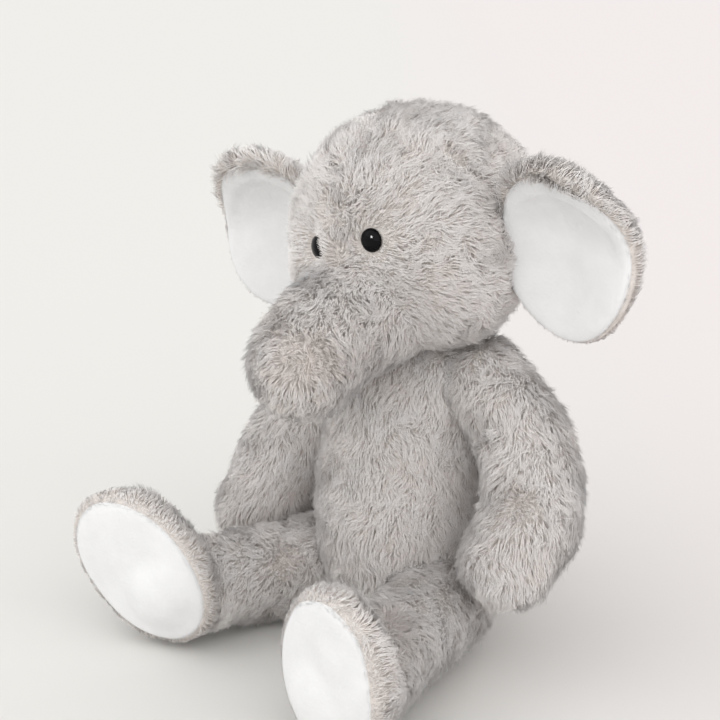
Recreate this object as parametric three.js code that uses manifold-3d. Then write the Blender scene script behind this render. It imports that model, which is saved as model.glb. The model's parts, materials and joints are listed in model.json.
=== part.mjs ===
// Seated plush elephant, in millimetres, +Z up, facing -Y. +X is the elephant's own left.
// Each soft bag is a shell whose outer face is the tips of its pile, and whose inside holds the
// filling. Limbs, trunk and tail turn about round root ends that sit in sockets.
import * as THREE from 'three';
import { mergeVertices } from 'three/addons/utils/BufferGeometryUtils.js';
import Module from 'manifold-3d';

const wasm = await Module();
wasm.setup();

const vec = (x, y, z) => new THREE.Vector3(x, y, z);
const degrees = THREE.MathUtils.degToRad;
const X_AXIS = vec(1, 0, 0);
const Z_AXIS = vec(0, 0, 1);

// Driving dimensions
const GAP = 0.4; // between pieces that touch
const WALL = 7; // pile and backing cloth together
const SOCKET_GAP = 0.9; // round a turning root end
const LINK_HOLE = 7; // radius of the way for filling where two bags join

const TORSO_WIDTH = 84;
const TORSO_DEPTH = 92;
const TORSO_HEIGHT = 140;
const SEAT_RADIUS = 27;

const NECK = vec(0, 0, 133);
const HEAD_RADIUS = 51;
const HEAD_RISE = 46; // centre of the head above the neck
const HEAD_TILT = degrees(6); // the left side stands higher
const HEAD_RELIEF = 57.5; // radius of the dish that the nodding head clears

const TRUNK_PIVOT = vec(0, -31, 21.5); // from the neck
const TRUNK_PATH = [vec(0, 0, 0), vec(0, -14, -6), vec(0, -28, -15), vec(0, -39, -24)];
const TRUNK_RADII = [20.5, 21.5, 21.5, 20.5];
const TRUNK_BEND = [-10, 0, 10]; // degrees

const EYE_RADIUS = 4.8;
const EYE_DOME = 3.2;
const EYE_SIDE = degrees(19); // from straight ahead
const EYE_SEAT = 45; // from the centre of the head to the cloth under an eye
const EYE_LEVEL = { left: 0, right: -4.5 }; // above the centre of the head
const SHANK_RADIUS = 1.6;
const SHANK_LENGTH = 10;
const WASHER_RADIUS = 4.4;
const WASHER_THICK = 1.6;

const EAR_PIVOT = vec(46, 3, 40); // from the neck, on the left side
const EAR_WIDTH = 70;
const EAR_HEIGHT = 78;
const EAR_DISH = 12; // the rim stands this far in front of the middle
const EAR_FLAP = 20; // degrees each way
const EAR_TURN = degrees(4); // the rims stand forward of the roots

const ARM_PIVOT = vec(36, 3, 117);
const ARM_PATH = [vec(0, 0, 0), vec(20, -1, -18), vec(33, -9, -43), vec(31.5, -22, -66)];
const ARM_RADII = [16.5, 19.5, 21.5, 20.5];
const ARM_RELIEF = 27; // radius of the hollow in the torso's side that the swinging arm clears

const LEG_RADII = [20, 20, 21, 23];
const LEG_HEIGHT = 21;
const LEG_LIFT = [0, 9, 18]; // degrees
// Where each hip is, how far the leg splays, its length to the face of the sole, and how the
// sole is turned about the upright and rolled about its own middle
const LEG_POSES = {
  left: { x: 34, y: -25, splay: 15.7, length: 99, turn: -7, roll: 11 },
  right: { x: -33, y: -16, splay: -18.6, length: 92, turn: 13, roll: -46 },
};
const FOOT_LIFT = 14; // middle of the sole above the axis of the leg
const FOOT_DEPTH = 28;
const FOOT_EDGE = 4; // grey pile round the sole
const FOOT_LEAN = degrees(5); // the toe stands forward of the heel
const SOLE_WIDTH = 53;
const SOLE_HEIGHT = 71;
const SOLE_THICK = 3;

const TAIL_PIVOT = vec(0, 42, 27);
const TAIL_PATH = [vec(0, 0, 0), vec(0, 9, -2), vec(0, 19, -8), vec(0, 27, -15)];
const TAIL_RADII = [6, 4.6, 4.2, 4];
const TAIL_WAG = 25; // degrees each way

const THREAD_RADIUS = 0.8;
const POUCH_CENTRE = vec(0, 11, 17.5);
const POUCH_SIZE = vec(32, 27, 20);
const POUCH_CLOTH = 1.2;
const LABEL_SIZE = vec(16, 0.8, 22);

// How finely round shapes are divided, outside and inside
const OUTER = { sides: 16, capSteps: 4, steps: 5 };
const INNER = { sides: 12, capSteps: 3, steps: 4 };

const COLOURS = {
  plush: 0xc9c2bc,
  lining: 0xf4f3f2,
  fill: 0xf1efe9,
  eye: 0x0b0b0c,
  washer: 0xd9d9d6,
  thread: 0xb4ada6,
  pouch: 0xd8d2c6,
  label: 0xf7f6f3,
};

// Joining and cutting
function toManifold(geometry) {
  const bare = geometry.clone();
  bare.deleteAttribute('normal');
  bare.deleteAttribute('uv');
  const merged = mergeVertices(bare, 1e-4);
  return new wasm.Manifold(
    new wasm.Mesh({
      numProp: 3,
      vertProperties: new Float32Array(merged.attributes.position.array),
      triVerts: new Uint32Array(merged.index.array),
    }),
  );
}

function toGeometry(solid) {
  const { vertProperties, triVerts } = solid.getMesh();
  const geometry = new THREE.BufferGeometry();
  const positions = new Float32Array(vertProperties);
  geometry.setAttribute('position', new THREE.BufferAttribute(positions, 3));
  geometry.setIndex(new THREE.BufferAttribute(new Uint32Array(triVerts), 1));
  geometry.computeVertexNormals();
  return geometry;
}

function cut(geometry, ...tools) {
  const start = toManifold(geometry);
  return toGeometry(tools.reduce((left, tool) => left.subtract(toManifold(tool)), start));
}

function join(geometry, ...others) {
  const start = toManifold(geometry);
  return toGeometry(others.reduce((left, other) => left.add(toManifold(other)), start));
}

// Copies of a shape turned about an axis: cut away together, they leave room for the motion
function turned(geometry, pivot, axis, angles) {
  return angles.map((angle) => {
    const copy = geometry.clone().translate(-pivot.x, -pivot.y, -pivot.z);
    copy.applyMatrix4(new THREE.Matrix4().makeRotationAxis(axis, degrees(angle)));
    return copy.translate(pivot.x, pivot.y, pivot.z);
  });
}

function inWorld(geometry, group) {
  return geometry.clone().applyMatrix4(group.matrixWorld);
}

function fromWorld(geometry, group) {
  return geometry.clone().applyMatrix4(group.matrixWorld.clone().invert());
}

// Basic shapes
function moveVertices(geometry, move) {
  const place = geometry.attributes.position;
  const point = new THREE.Vector3();
  for (let i = 0; i < place.count; i += 1) {
    point.fromBufferAttribute(place, i);
    move(point);
    place.setXYZ(i, point.x, point.y, point.z);
  }
  return geometry;
}

function ball(radius, centre, sides = 18) {
  const geometry = new THREE.SphereGeometry(radius, sides, sides / 2);
  return geometry.translate(centre.x, centre.y, centre.z);
}

// A solid of revolution from [radius, height] pairs that run upwards, with its axis along Z
function lathe(profile, sides) {
  const points = profile.map(([radius, height]) => new THREE.Vector2(radius, height));
  return new THREE.LatheGeometry(points, sides).rotateX(Math.PI / 2);
}

// A round bar from one point to another
function rod(start, end, radius, sides = 18) {
  const along = new THREE.Vector3().subVectors(end, start);
  const geometry = new THREE.CylinderGeometry(radius, radius, along.length(), sides);
  const turn = new THREE.Quaternion().setFromUnitVectors(vec(0, 1, 0), along.normalize());
  const middle = new THREE.Vector3().addVectors(start, end).multiplyScalar(0.5);
  return geometry.applyQuaternion(turn).translate(middle.x, middle.y, middle.z);
}

function ring(radius, centre, facing) {
  return (thread) => {
    const geometry = new THREE.TorusGeometry(radius, thread, 6, 18);
    const turn = new THREE.Quaternion().setFromUnitVectors(Z_AXIS, facing.clone().normalize());
    return geometry.applyQuaternion(turn).translate(centre.x, centre.y, centre.z);
  };
}

// A round limb along a curve. Its ends are round, and the first is a ball about the first point.
function limb(path, radii, inset, { sides, capSteps, steps, tipLength = 0.9 }) {
  const spine = new THREE.CatmullRomCurve3(path);
  const length = spine.getLength();
  const widths = new THREE.SplineCurve(radii.map((radius, i) => new THREE.Vector2(i, radius)));
  const first = radii[0] - inset;
  const last = radii[radii.length - 1] - inset;
  const profile = [[0, -first]];
  for (let i = 1; i <= capSteps; i += 1) {
    const turn = (Math.PI / 2) * (1 - i / capSteps);
    profile.push([first * Math.cos(turn), -first * Math.sin(turn)]);
  }
  for (let i = 1; i < steps; i += 1) {
    profile.push([widths.getPoint(i / steps).y - inset, (length * i) / steps]);
  }
  for (let i = 0; i < capSteps; i += 1) {
    const turn = (Math.PI / 2) * (i / capSteps);
    profile.push([last * Math.cos(turn), length + tipLength * last * Math.sin(turn)]);
  }
  profile.push([0, length + tipLength * last]);
  const along = new THREE.Vector3();
  const side = new THREE.Vector3();
  const over = new THREE.Vector3();
  return moveVertices(lathe(profile, sides), (point) => {
    const { x, y, z } = point;
    const reach = THREE.MathUtils.clamp(z / length, 0, 1);
    spine.getTangentAt(reach, along);
    side.set(1, 0, 0).addScaledVector(along, -along.x).normalize();
    over.crossVectors(along, side);
    spine.getPointAt(reach, point);
    point.addScaledVector(along, z - reach * length);
    point.addScaledVector(side, x).addScaledVector(over, y);
  });
}

function named(name, geometry, colour, roughness = 1) {
  const material = new THREE.MeshStandardMaterial({ color: colour, roughness, metalness: 0 });
  const mesh = new THREE.Mesh(geometry, material);
  mesh.name = name;
  return mesh;
}

const FLOOR_DEPTH = 60;
const floor = new THREE.BoxGeometry(600, 600, FLOOR_DEPTH).translate(0, 0, -FLOOR_DEPTH / 2);

const whole = new THREE.Group();

// Head frame: its origin is the neck
const head = new THREE.Group();
head.position.set(HEAD_RISE * Math.sin(HEAD_TILT), NECK.y, NECK.z);
head.rotation.y = -HEAD_TILT;
head.updateMatrixWorld(true);
const HEAD_CENTRE = vec(0, 0.5, HEAD_RISE);

function headShape(inset, sides = 22) {
  const radius = HEAD_RADIUS - inset;
  const geometry = new THREE.SphereGeometry(radius, sides, Math.round(sides * 0.6));
  return moveVertices(geometry.rotateX(Math.PI / 2), (point) => {
    const low = THREE.MathUtils.clamp(-point.z / radius, 0, 1);
    const cheek = 1 + 0.07 * Math.sin(Math.PI * low) ** 2;
    point.multiply(vec(cheek, cheek * 1.01, 0.95)).add(HEAD_CENTRE);
  });
}

// Torso: an egg with a flat seat, and a smaller egg hollow for the filling
const TORSO_EGG = {
  radii: [SEAT_RADIUS, 36, 42.5, 45.5, 46, 44.5, 41.5, 37.5, 32.5, 26, 15, 2],
  levels: [0, 3, 12, 26, 44, 62, 80, 98, 112, 126, 137, TORSO_HEIGHT],
};
const HOLLOW_EGG = {
  radii: [24, 31, 36, 38.5, 37, 33.5, 27, 18, 9],
  levels: [WALL, 11, 24, 44, 62, 80, 97, 109, 118],
};

function eggCurve({ radii, levels }) {
  return new THREE.SplineCurve(radii.map((radius, i) => new THREE.Vector2(radius, levels[i])));
}

function eggShape(egg, inset, sides, rings) {
  const bottom = egg.levels[0] + inset;
  const top = egg.levels[egg.levels.length - 1] - inset;
  const profile = [[0, bottom]];
  eggCurve(egg)
    .getPoints(rings)
    .forEach(({ x, y }) => {
      const level = THREE.MathUtils.clamp(y, bottom, top);
      if (level >= profile[profile.length - 1][1]) profile.push([x - inset, level]);
    });
  profile.push([0, top + 0.1]);
  return lathe(profile, sides).scale(TORSO_WIDTH / TORSO_DEPTH, 1, 1);
}

// Arms, each in a frame at its shoulder
function armShape(side, inset, fineness) {
  const path = ARM_PATH.map((point) => point.clone().multiply(vec(side, 1, 1)));
  return limb(path, ARM_RADII, inset, fineness);
}

// Legs, each in a frame at its hip with the leg along -Y
function legTube(length, inset, fineness) {
  const reach = length - FOOT_DEPTH;
  const path = [vec(0, 0, 0), vec(0, -reach / 3, 0), vec(0, (-2 * reach) / 3, 1), vec(0, -reach, 3)];
  return limb(path, LEG_RADII, inset, { ...fineness, tipLength: 0.5 });
}

function placeFoot(geometry, { length, splay, turn, roll }) {
  geometry.rotateX(FOOT_LEAN).rotateY(degrees(roll)).rotateZ(degrees(turn - splay));
  return geometry.translate(0, -length, FOOT_LIFT);
}

// An upright oval pad that narrows backwards into the leg
function footShape(pose, inset, sides) {
  const across = SOLE_WIDTH / 2 + FOOT_EDGE - inset;
  const tall = SOLE_HEIGHT / 2 + FOOT_EDGE - inset;
  const depth = (share) => inset + share * (FOOT_DEPTH - 2 * inset);
  const profile = [
    [0, depth(0)],
    [0.88, depth(0)],
    [0.97, depth(0.08)],
    [1, depth(0.22)],
    [0.92, depth(0.5)],
    [0.72, depth(0.8)],
    [0.45, depth(1)],
    [0, depth(1)],
  ];
  const geometry = lathe(profile, sides).rotateX(-Math.PI / 2);
  return placeFoot(geometry.scale(across, 1, tall), pose);
}

function soleShape(pose, grow) {
  const half = SOLE_THICK / 2 + grow;
  const profile = [
    [0, -half],
    [0.92, -half],
    [1, -half * 0.3],
    [1, half * 0.3],
    [0.95, half],
    [0, half],
  ];
  const geometry = lathe(profile, 20).rotateX(-Math.PI / 2);
  geometry.scale(SOLE_WIDTH / 2 + grow, 1, SOLE_HEIGHT / 2 + grow);
  return placeFoot(geometry.translate(0, 0.6, 0), pose);
}

function makeLeg(key) {
  const pose = LEG_POSES[key];
  const { x, y, splay, length } = pose;
  const group = new THREE.Group();
  group.position.set(x, y, LEG_HEIGHT);
  group.rotation.z = degrees(splay);
  group.updateMatrixWorld(true);
  const outside = join(legTube(length, 0, OUTER), footShape(pose, 0, 18));
  const bag = (inset) => join(legTube(length, inset, INNER), footShape(pose, inset, 12));
  const ground = fromWorld(floor, group);
  const raisedGround = fromWorld(floor.clone().translate(0, 0, 1.5), group);
  const wayIn = rod(vec(0, 0, 0), vec(0, 30, 0), LINK_HOLE);
  const cover = cut(outside, ground, bag(WALL), wayIn, soleShape(pose, GAP));
  const stuffing = cut(bag(WALL + GAP), raisedGround, soleShape(pose, GAP * 2));
  const sole = cut(soleShape(pose, 0), ground);
  group.add(
    named(`leg_${key}_cover`, cover, COLOURS.plush),
    named(`leg_${key}_stuffing`, stuffing, COLOURS.fill),
    named(`sole_${key}`, sole, COLOURS.lining),
  );
  const pivot = group.position;
  const outward = vec(0, -1, 0).applyAxisAngle(Z_AXIS, degrees(splay));
  const lift = vec(-1, 0, 0).applyAxisAngle(Z_AXIS, degrees(splay));
  const knee = pivot.clone().addScaledVector(outward, 60);
  const thigh = rod(pivot, knee, LEG_RADII[2] + SOCKET_GAP, 12);
  const reliefs = turned(thigh, pivot, lift, LEG_LIFT);
  return { group, pivot, reliefs, root: LEG_RADII[0] };
}

function makeArm(key) {
  const side = key === 'left' ? 1 : -1;
  const group = new THREE.Group();
  group.position.copy(ARM_PIVOT).multiply(vec(side, 1, 1));
  group.updateMatrixWorld(true);
  const wayIn = rod(vec(0, 0, 0), vec(-side * 30, 0, -6), LINK_HOLE);
  const cover = cut(armShape(side, 0, OUTER), armShape(side, WALL, INNER), wayIn);
  group.add(
    named(`arm_${key}_cover`, cover, COLOURS.plush),
    named(`arm_${key}_stuffing`, armShape(side, WALL + GAP, INNER), COLOURS.fill),
  );
  const pivot = group.position;
  const reliefs = [ball(ARM_RELIEF, pivot.clone().add(vec(side * 9, 0, 0)))];
  return { group, pivot, reliefs, root: ARM_RADII[0] };
}

// Ears: dished ovals in layers, each in a frame on the line where the ear joins the head
function earLayer(side, { front, thick, trim }) {
  const rings = [0, 0.45, 0.8, 1];
  const lower = rings.map((ring) => [ring, ring === 1 ? -0.2 : -0.5]);
  const upper = rings.map((ring) => [ring, ring === 1 ? 0.2 : 0.5]).reverse();
  const wide = EAR_WIDTH / 2 - trim;
  const tall = EAR_HEIGHT / 2 - trim;
  const disc = lathe([...lower, ...upper], 20).rotateX(-Math.PI / 2);
  return moveVertices(disc, (point) => {
    const { x, y, z } = point;
    const dish = EAR_DISH * (x * x + z * z);
    const middle = side * (EAR_WIDTH / 2 - 2);
    point.set(middle + wide * x, front + thick * (y + 0.5) - dish, tall * z - 1);
  });
}

function makeEar(key) {
  const side = key === 'left' ? 1 : -1;
  const group = new THREE.Group();
  group.position.copy(EAR_PIVOT).multiply(vec(side, 1, 1));
  group.rotation.z = -side * EAR_TURN;
  const inHead = new THREE.Matrix4().compose(
    group.position,
    new THREE.Quaternion().setFromEuler(group.rotation),
    vec(1, 1, 1),
  );
  const headHere = headShape(-2 * SOCKET_GAP).applyMatrix4(inHead.invert());
  const tools = turned(headHere, vec(0, 0, 0), Z_AXIS, [-EAR_FLAP, 0, EAR_FLAP]);
  const layers = [
    [`ear_${key}_lining`, COLOURS.lining, { front: 0, thick: 2.4, trim: 6 }],
    [`ear_${key}_wadding`, COLOURS.fill, { front: 2.4 + GAP, thick: 1.6, trim: 6 }],
    [`ear_${key}_back`, COLOURS.plush, { front: 4 + 2 * GAP, thick: 6, trim: 0 }],
  ];
  layers.forEach(([name, colour, layer]) => {
    group.add(named(name, cut(earLayer(side, layer), ...tools), colour));
  });
  return group;
}

// Trunk, in a frame inside the face
const trunkShape = (inset, fineness) => limb(TRUNK_PATH, TRUNK_RADII, inset, fineness);

function makeTrunk() {
  const group = new THREE.Group();
  group.position.copy(TRUNK_PIVOT);
  const wayIn = rod(vec(0, 0, 0), vec(0, 30, 8), LINK_HOLE);
  group.add(
    named('trunk_cover', cut(trunkShape(0, OUTER), trunkShape(WALL, INNER), wayIn), COLOURS.plush),
    named('trunk_stuffing', trunkShape(WALL + GAP, INNER), COLOURS.fill),
  );
  return group;
}

// The room that the trunk turns in: a ball round its root, and a bar round its first stretch
function trunkRoom(grow) {
  const forward = TRUNK_PIVOT.clone().addScaledVector(TRUNK_PATH[1], 2.5);
  const bar = rod(TRUNK_PIVOT, forward, TRUNK_RADII[1] + SOCKET_GAP + grow, 14);
  const bars = turned(bar, TRUNK_PIVOT, X_AXIS, TRUNK_BEND);
  return [ball(TRUNK_RADII[0] + SOCKET_GAP + grow, TRUNK_PIVOT, 18), ...bars];
}

// Eyes: a dome on a shank, which a lock washer holds from inside
function eyeDirection(key) {
  return vec((key === 'left' ? 1 : -1) * Math.sin(EYE_SIDE), -Math.cos(EYE_SIDE), 0);
}

function alongEye(key, distance) {
  const start = HEAD_CENTRE.clone().add(vec(0, 0, EYE_LEVEL[key]));
  return start.addScaledVector(eyeDirection(key), distance);
}

function onEyeAxis(geometry, key) {
  geometry.applyQuaternion(new THREE.Quaternion().setFromUnitVectors(Z_AXIS, eyeDirection(key)));
  const start = alongEye(key, 0);
  return geometry.translate(start.x, start.y, start.z);
}

function eyeShape(key) {
  const profile = [
    [0, EYE_SEAT - SHANK_LENGTH],
    [SHANK_RADIUS * 0.6, EYE_SEAT - SHANK_LENGTH],
    [SHANK_RADIUS, EYE_SEAT - SHANK_LENGTH + 1],
    [SHANK_RADIUS, EYE_SEAT],
    [EYE_RADIUS * 0.94, EYE_SEAT],
    [EYE_RADIUS, EYE_SEAT + 0.7],
  ];
  const domeSteps = 4;
  for (let i = 1; i < domeSteps; i += 1) {
    const turn = (Math.PI / 2) * (i / domeSteps);
    const rise = 0.7 + (EYE_DOME - 0.7) * Math.sin(turn);
    profile.push([EYE_RADIUS * Math.cos(turn), EYE_SEAT + rise]);
  }
  profile.push([0, EYE_SEAT + EYE_DOME]);
  return onEyeAxis(lathe(profile, 16), key);
}

function washerShape(key) {
  const top = EYE_SEAT - 1 - GAP * 2;
  const inner = SHANK_RADIUS + GAP;
  const profile = [
    [inner, top - WASHER_THICK],
    [WASHER_RADIUS, top - WASHER_THICK],
    [WASHER_RADIUS, top],
    [inner, top],
    [inner, top - WASHER_THICK],
  ];
  return onEyeAxis(lathe(profile, 12), key);
}

function makeHead() {
  const eyes = ['left', 'right'];
  const hollow = cut(headShape(WALL, 18), ...trunkRoom(WALL));
  const throat = vec(-head.position.x, 0, -6);
  const wayIn = rod(HEAD_CENTRE, throat, LINK_HOLE);
  const eyePockets = eyes.flatMap((key) => [
    ball(9.5, alongEye(key, EYE_SEAT + 9.3), 14),
    rod(alongEye(key, EYE_SEAT - GAP), alongEye(key, EYE_SEAT + 8), EYE_RADIUS + 2 * GAP, 12),
    rod(alongEye(key, EYE_SEAT - 6), alongEye(key, EYE_SEAT + 2), SHANK_RADIUS + GAP, 10),
  ]);
  const washerRooms = eyes.map((key) =>
    rod(
      alongEye(key, EYE_SEAT - SHANK_LENGTH - GAP),
      alongEye(key, EYE_SEAT + 2),
      WASHER_RADIUS + 2 * GAP,
      12,
    ),
  );
  const washerSeats = eyes.map((key) =>
    rod(
      alongEye(key, EYE_SEAT - SHANK_LENGTH - GAP),
      alongEye(key, EYE_SEAT - 1 - GAP),
      WASHER_RADIUS + 2 * GAP,
      12,
    ),
  );
  const cover = cut(headShape(0), hollow, wayIn, ...trunkRoom(0), ...eyePockets, ...washerSeats);
  const stuffing = cut(headShape(WALL + GAP, 18), ...trunkRoom(WALL + GAP), ...washerRooms);
  head.add(
    named('head_cover', cover, COLOURS.plush),
    named('head_stuffing', stuffing, COLOURS.fill),
    makeTrunk(),
    makeEar('left'),
    makeEar('right'),
  );
  eyes.forEach((key) => {
    head.add(
      named(`eye_${key}`, eyeShape(key), COLOURS.eye, 0.08),
      named(`eye_${key}_washer`, washerShape(key), COLOURS.washer, 0.5),
    );
  });
}

// Tail: a short plush cord with a tuft, in a frame at its root
function makeTail() {
  const group = new THREE.Group();
  group.position.copy(TAIL_PIVOT);
  const tuftCentre = TAIL_PATH[3].clone().add(vec(0, 5, -3));
  const tuft = ball(7.5, vec(0, 0, 0), 14).scale(0.9, 1.15, 0.9);
  tuft.translate(tuftCentre.x, tuftCentre.y, tuftCentre.z);
  const cord = (grow) => limb(TAIL_PATH, TAIL_RADII, -grow, INNER);
  group.add(
    named('tail_cover', cord(0), COLOURS.plush),
    named('tail_tuft', cut(tuft, cord(GAP)), COLOURS.plush),
  );
  return group;
}

// Torso, with a socket for everything that turns in it
function makeTorso(limbs) {
  const roundLimbs = (grow) =>
    limbs.map(({ pivot, root }) => ball(root + SOCKET_GAP + grow, pivot));
  const roundTail = (grow) => ball(TAIL_RADII[0] + SOCKET_GAP + grow, TAIL_PIVOT, 14);
  const hollow = (inset) =>
    cut(eggShape(HOLLOW_EGG, inset, 18, 9), ...roundLimbs(WALL + inset), roundTail(WALL + inset));
  const headRelief = ball(HEAD_RELIEF, NECK.clone().add(vec(0, 0.5, HEAD_RISE + 0.5)), 24);
  const tailRod = rod(TAIL_PIVOT, TAIL_PIVOT.clone().add(vec(0, 16, -3)), 6.4, 10);
  const wags = turned(tailRod, TAIL_PIVOT, Z_AXIS, [-TAIL_WAG, 0, TAIL_WAG]);
  const reliefs = limbs.flatMap((part) => part.reliefs);

  const neckRing = ring(11, vec(0, 0, 126.8), Z_AXIS);
  const backCurve = eggCurve(TORSO_EGG).getPoints(400);
  const backLine = [58, 68, 78, 88, 98].map((level) => {
    const here = backCurve.find(({ y }) => y >= level);
    return vec(0, here.x - 0.6, level);
  });
  const backThread = (grow) =>
    limb(backLine, [1, 1, 1, 1, 1], -grow, { sides: 6, capSteps: 2, steps: 8 });

  const cover = cut(
    eggShape(TORSO_EGG, 0, 22, 11),
    hollow(0),
    rod(vec(0, 0, 105), vec(0, 0, 150), LINK_HOLE),
    headRelief,
    ...roundLimbs(0),
    ...reliefs,
    roundTail(0),
    ...wags,
    neckRing(THREAD_RADIUS + GAP),
    backThread(GAP),
  );

  const pouchShape = (inset) => {
    const round = ball(1, vec(0, 0, 0), 16).rotateX(Math.PI / 2);
    const half = POUCH_SIZE.clone().multiplyScalar(0.5).addScalar(-inset);
    round.scale(half.x, half.y, half.z);
    return round.translate(POUCH_CENTRE.x, POUCH_CENTRE.y, POUCH_CENTRE.z);
  };
  const mouth = rod(POUCH_CENTRE, POUCH_CENTRE.clone().add(vec(0, 4, 20)), 3, 8);
  const pouch = cut(pouchShape(0), pouchShape(POUCH_CLOTH), mouth);
  const stuffing = cut(hollow(GAP), ...reliefs, pouchShape(-GAP));

  whole.add(
    named('torso_cover', cover, COLOURS.plush),
    named('torso_stuffing', stuffing, COLOURS.fill),
    named('pellet_pouch', pouch, COLOURS.pouch),
    named('pellet_fill', pouchShape(POUCH_CLOTH + GAP), COLOURS.washer),
    named('neck_seam', neckRing(THREAD_RADIUS), COLOURS.thread),
    named('back_seam', backThread(0), COLOURS.thread),
  );
}

function makeLabel() {
  const label = new THREE.BoxGeometry(LABEL_SIZE.x, LABEL_SIZE.y, LABEL_SIZE.z);
  const mesh = named('care_label', label, COLOURS.label);
  mesh.position.set(-22, 45, 30);
  mesh.rotation.set(degrees(8), 0, degrees(30));
  return mesh;
}

const limbs = [makeArm('left'), makeArm('right'), makeLeg('left'), makeLeg('right')];
makeHead();
makeTorso(limbs);
whole.add(head, makeTail(), makeLabel(), ...limbs.map(({ group }) => group));

// The origin is the middle of the outer box, on the surface that the toy sits on
const box = new THREE.Box3().setFromObject(whole, true);
const middle = box.getCenter(new THREE.Vector3());
const object = new THREE.Group();
whole.position.set(-middle.x, -middle.y, -box.min.z);
object.add(whole);

export default object;
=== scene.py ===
"""Looks of the seated plush elephant: sewn skins, pile, white linings, eyes, filling and stitches.

Lengths are in millimetres in the row's frame until a mesh is made; METRE turns them into metres.
"""

import json
import math

import bpy
import numpy as np
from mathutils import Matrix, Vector
from mathutils.kdtree import KDTree


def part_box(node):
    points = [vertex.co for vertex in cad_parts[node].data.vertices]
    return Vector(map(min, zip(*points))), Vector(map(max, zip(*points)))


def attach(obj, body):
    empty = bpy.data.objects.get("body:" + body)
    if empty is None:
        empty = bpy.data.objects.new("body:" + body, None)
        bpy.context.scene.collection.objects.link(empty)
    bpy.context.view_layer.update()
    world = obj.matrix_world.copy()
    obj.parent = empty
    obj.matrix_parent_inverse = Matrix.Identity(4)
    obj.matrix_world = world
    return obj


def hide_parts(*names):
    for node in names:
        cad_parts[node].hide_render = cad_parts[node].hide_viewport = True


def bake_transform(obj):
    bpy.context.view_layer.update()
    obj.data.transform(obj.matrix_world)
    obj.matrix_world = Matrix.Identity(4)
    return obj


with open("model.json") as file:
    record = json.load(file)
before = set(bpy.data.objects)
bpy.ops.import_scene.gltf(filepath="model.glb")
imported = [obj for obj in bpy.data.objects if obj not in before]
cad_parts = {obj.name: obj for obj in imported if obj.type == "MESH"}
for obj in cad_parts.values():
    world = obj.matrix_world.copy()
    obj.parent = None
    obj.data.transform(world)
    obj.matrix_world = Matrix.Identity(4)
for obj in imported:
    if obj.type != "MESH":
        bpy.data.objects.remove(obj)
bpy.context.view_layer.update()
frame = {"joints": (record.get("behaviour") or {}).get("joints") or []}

METRE = 0.001
RNG = np.random.default_rng(20)

UP = np.array([0.0, 0.0, 1.0])
SIDES = {"left": 1, "right": -1}


# ---- frames of the parts
def turn(axis, degrees):
    """The matrix that turns a point about x, y or z."""
    angle = math.radians(degrees)
    c, s = math.cos(angle), math.sin(angle)
    i, j = {"x": (1, 2), "y": (2, 0), "z": (0, 1)}[axis]
    matrix = np.eye(3)
    matrix[i, i] = matrix[j, j] = c
    matrix[j, i] = s
    matrix[i, j] = -s
    return matrix


class Place:
    """A part's own frame: an origin and a turn in the row's frame."""

    def __init__(self, origin, matrix=None):
        self.origin = np.array(origin, float)
        self.matrix = np.eye(3) if matrix is None else matrix

    def out(self, points):
        return np.asarray(points, float) @ self.matrix.T + self.origin

    def into(self, points):
        return (points - self.origin) @ self.matrix

    def child(self, offset, matrix=None):
        inner = np.eye(3) if matrix is None else matrix
        return Place(self.out(offset), self.matrix @ inner)


PIVOT = {joint["child"]: np.array(joint["pos_m"]) / METRE for joint in frame["joints"]}
HEAD_TILT = 6
HEAD_SHIFT = 4.81  # keeps the tilted head over the neck
EAR_TURN = 4
FOOT_LEAN = 5
FOOT_LIFT = 14
LEG_SPLAY = {"left": 15.7, "right": -18.6}
LEG_LENGTH = {"left": 99, "right": 92}
FOOT_TURN = {"left": (-7, 11), "right": (13, -46)}  # about the upright, then about the sole's middle

TORSO = Place((PIVOT["neck"][0], PIVOT["neck"][1], 0))
HEAD = Place(PIVOT["neck"] + (HEAD_SHIFT, 0, 0), turn("y", -HEAD_TILT))
TRUNK = Place(PIVOT["trunk"], HEAD.matrix)
TAIL = Place(PIVOT["tail"])
EAR = {k: Place(PIVOT[f"ear_{k}"], HEAD.matrix @ turn("z", -s * EAR_TURN)) for k, s in SIDES.items()}
ARM = {k: Place(PIVOT[f"arm_{k}"]) for k in SIDES}
LEG = {k: Place(PIVOT[f"leg_{k}"], turn("z", LEG_SPLAY[k])) for k in SIDES}
FOOT = {
    k: Place(
        LEG[k].out((0, -LEG_LENGTH[k], FOOT_LIFT)),
        turn("z", FOOT_TURN[k][0]) @ turn("y", FOOT_TURN[k][1]) @ turn("x", FOOT_LEAN),
    )
    for k in SIDES
}


# ---- fields: distance outside a form
def unit(vectors):
    return vectors / np.maximum(np.linalg.norm(vectors, axis=-1, keepdims=True), 1e-9)


def blob(p, centre, radii):
    radii = np.broadcast_to(np.asarray(radii, float), 3)
    q = (p - np.asarray(centre, float)) / radii
    near = np.linalg.norm(q, axis=1)
    return near * (near - 1) / np.maximum(np.linalg.norm(q / radii, axis=1), 1e-6)


def curve(points, count=14):
    """Points along a smooth line through the given ones, with anything else they carry."""
    points = np.asarray(points, float)
    padded = np.vstack([2 * points[0] - points[1], points, 2 * points[-1] - points[-2]])
    t = np.linspace(0, len(points) - 1 - 1e-9, count)
    i = t.astype(int)
    f = (t - i)[:, None]
    a, b, c, d = (padded[i + k] for k in range(4))
    return 0.5 * (2 * b + (c - a) * f + (2 * a - 5 * b + 4 * c - d) * f**2 + (3 * b - a - 3 * c + d) * f**3)


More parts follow.
